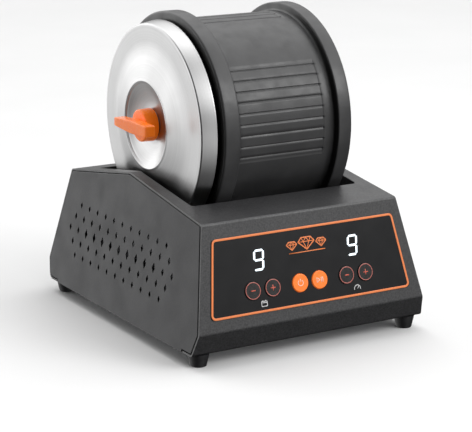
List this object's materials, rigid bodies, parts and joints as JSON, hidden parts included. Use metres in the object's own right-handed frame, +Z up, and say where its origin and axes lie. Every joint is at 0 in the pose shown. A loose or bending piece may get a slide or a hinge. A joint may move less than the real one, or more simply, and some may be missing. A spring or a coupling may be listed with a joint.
{
  "type": "rotary rock tumbler",
  "caption": "Rotary rock tumbler: a ribbed rubber barrel with a domed steel lid and wing knob, turned on rollers in a sloping sheet-steel base with a digital control panel.",
  "frame": {"origin": "on the floor, under the middle of the object's bounding box", "axes": "+X from the lid side to the drive side along the barrel's axis, +Y from the control panel to the rear, +Z up"},
  "size_m": [0.18, 0.2218, 0.2126],
  "materials": {
    "housing_paint": "fine-textured satin powder coat",
    "plate_steel": "zinc-plated sheet",
    "foot_rubber": "satin moulded",
    "fastener_steel": "zinc-plated",
    "overlay_black": "smooth satin-gloss sheet",
    "button_black": "gloss",
    "button_orange": "gloss",
    "circuit_board": "satin solder mask",
    "component_black": "matt",
    "shaft_steel": "ground",
    "bearing_steel": "polished",
    "roller_rubber": "matt",
    "pulley_aluminium": "turned",
    "motor_steel": "plated",
    "barrel_rubber": "satin moulded",
    "lid_steel": "satin spun",
    "knob_orange": "gloss moulded",
    "print_orange": "screen print",
    "print_white": "screen print",
    "digit_glow": "lit segments"
  },
  "bodies": {
    "base": {"base_plate": "plate_steel", "base_screws": "fastener_steel", "board_screws": "fastener_steel", "board_standoffs": "fastener_steel", "control_board": "circuit_board", "control_overlay": "overlay_black", "days_display": "component_black", "drive_belt": "roller_rubber", "driver_board": "circuit_board", "driver_parts": "component_black", "driver_posts": "fastener_steel", "foot_screws": "fastener_steel", "frame_screws": "fastener_steel", "front_left_foot": "foot_rubber", "front_right_foot": "foot_rubber", "gearbox": "motor_steel", "inlet_nut": "fastener_steel", "left_roller_frame": "plate_steel", "left_side_panel": "housing_paint", "main_shell": "housing_paint", "motor_can": "motor_steel", "motor_screws": "fastener_steel", "power_inlet": "component_black", "rear_left_foot": "foot_rubber", "rear_right_foot": "foot_rubber", "right_roller_frame": "plate_steel", "right_side_panel": "housing_paint", "roller_bearings": "bearing_steel", "speed_display": "component_black", "tact_switches": "component_black"},
    "lift_carrier": {"lid_seal": "roller_rubber"},
    "barrel": {"barrel_drum": "barrel_rubber", "barrel_end": "barrel_rubber", "inner_lid": "lid_steel", "lid_stud": "shaft_steel", "outer_lid": "lid_steel"},
    "knob_carrier": {"knob_washer": "fastener_steel"},
    "knob": {"wing_knob": "knob_orange"},
    "drive_roller": {"drive_shaft": "shaft_steel", "drive_roller_sleeves": "roller_rubber", "drive_shaft_clips": "fastener_steel", "drive_pulley": "pulley_aluminium"},
    "idler_roller": {"idler_shaft": "shaft_steel", "idler_roller_sleeves": "roller_rubber", "idler_shaft_clips": "fastener_steel"},
    "motor_drive": {"motor_shaft": "shaft_steel", "motor_pulley": "pulley_aluminium"},
    "days_minus_key": {"days_minus_button": "button_black"},
    "days_plus_key": {"days_plus_button": "button_black"},
    "power_key": {"power_button": "button_orange"},
    "play_key": {"play_button": "button_orange"},
    "speed_minus_key": {"speed_minus_button": "button_black"},
    "speed_plus_key": {"speed_plus_button": "button_black"}
  },
  "joints": [
    {"name": "barrel_lift", "type": "slide", "parent": "base", "child": "lift_carrier", "axis": [0, 0, 1], "range_m": [0, 0.13]},
    {"name": "barrel_spin", "type": "hinge", "parent": "lift_carrier", "child": "barrel", "pos_m": [0, 0.0045, 0.1371], "axis": [1, 0, 0], "continuous": true},
    {"name": "knob_back_off", "type": "slide", "parent": "barrel", "child": "knob_carrier", "axis": [-1, 0, 0], "range_m": [0, 0.00505]},
    {"name": "knob_turn", "type": "hinge", "parent": "knob_carrier", "child": "knob", "pos_m": [0, 0.0045, 0.1371], "axis": [-1, 0, 0], "range_deg": [0, 1440]},
    {"name": "drive_roller_spin", "type": "hinge", "parent": "base", "child": "drive_roller", "pos_m": [0, 0.0532, 0.06768], "axis": [1, 0, 0], "continuous": true},
    {"name": "idler_roller_spin", "type": "hinge", "parent": "base", "child": "idler_roller", "pos_m": [0, -0.0442, 0.06768], "axis": [1, 0, 0], "continuous": true},
    {"name": "motor_spin", "type": "hinge", "parent": "base", "child": "motor_drive", "pos_m": [0, 0.02, 0.034], "axis": [1, 0, 0], "continuous": true},
    {"name": "days_minus_press", "type": "slide", "parent": "base", "child": "days_minus_key", "axis": [0, 0.9682, -0.2503], "range_m": [0, 0.0008], "stiffness_N_per_m": 400},
    {"name": "days_plus_press", "type": "slide", "parent": "base", "child": "days_plus_key", "axis": [0, 0.9682, -0.2503], "range_m": [0, 0.0008], "stiffness_N_per_m": 400},
    {"name": "power_press", "type": "slide", "parent": "base", "child": "power_key", "axis": [0, 0.9682, -0.2503], "range_m": [0, 0.0008], "stiffness_N_per_m": 400},
    {"name": "play_press", "type": "slide", "parent": "base", "child": "play_key", "axis": [0, 0.9682, -0.2503], "range_m": [0, 0.0008], "stiffness_N_per_m": 400},
    {"name": "speed_minus_press", "type": "slide", "parent": "base", "child": "speed_minus_key", "axis": [0, 0.9682, -0.2503], "range_m": [0, 0.0008], "stiffness_N_per_m": 400},
    {"name": "speed_plus_press", "type": "slide", "parent": "base", "child": "speed_plus_key", "axis": [0, 0.9682, -0.2503], "range_m": [0, 0.0008], "stiffness_N_per_m": 400}
  ],
  "couplings": [
    {"joint": "drive_roller_spin", "follows": "barrel_spin", "ratio": -8.3889},
    {"joint": "idler_roller_spin", "follows": "barrel_spin", "ratio": -8.3889},
    {"joint": "motor_spin", "follows": "barrel_spin", "ratio": -14.681},
    {"joint": "knob_back_off", "follows": "knob_turn", "m_per_rad": 0.00019894}
  ]
}
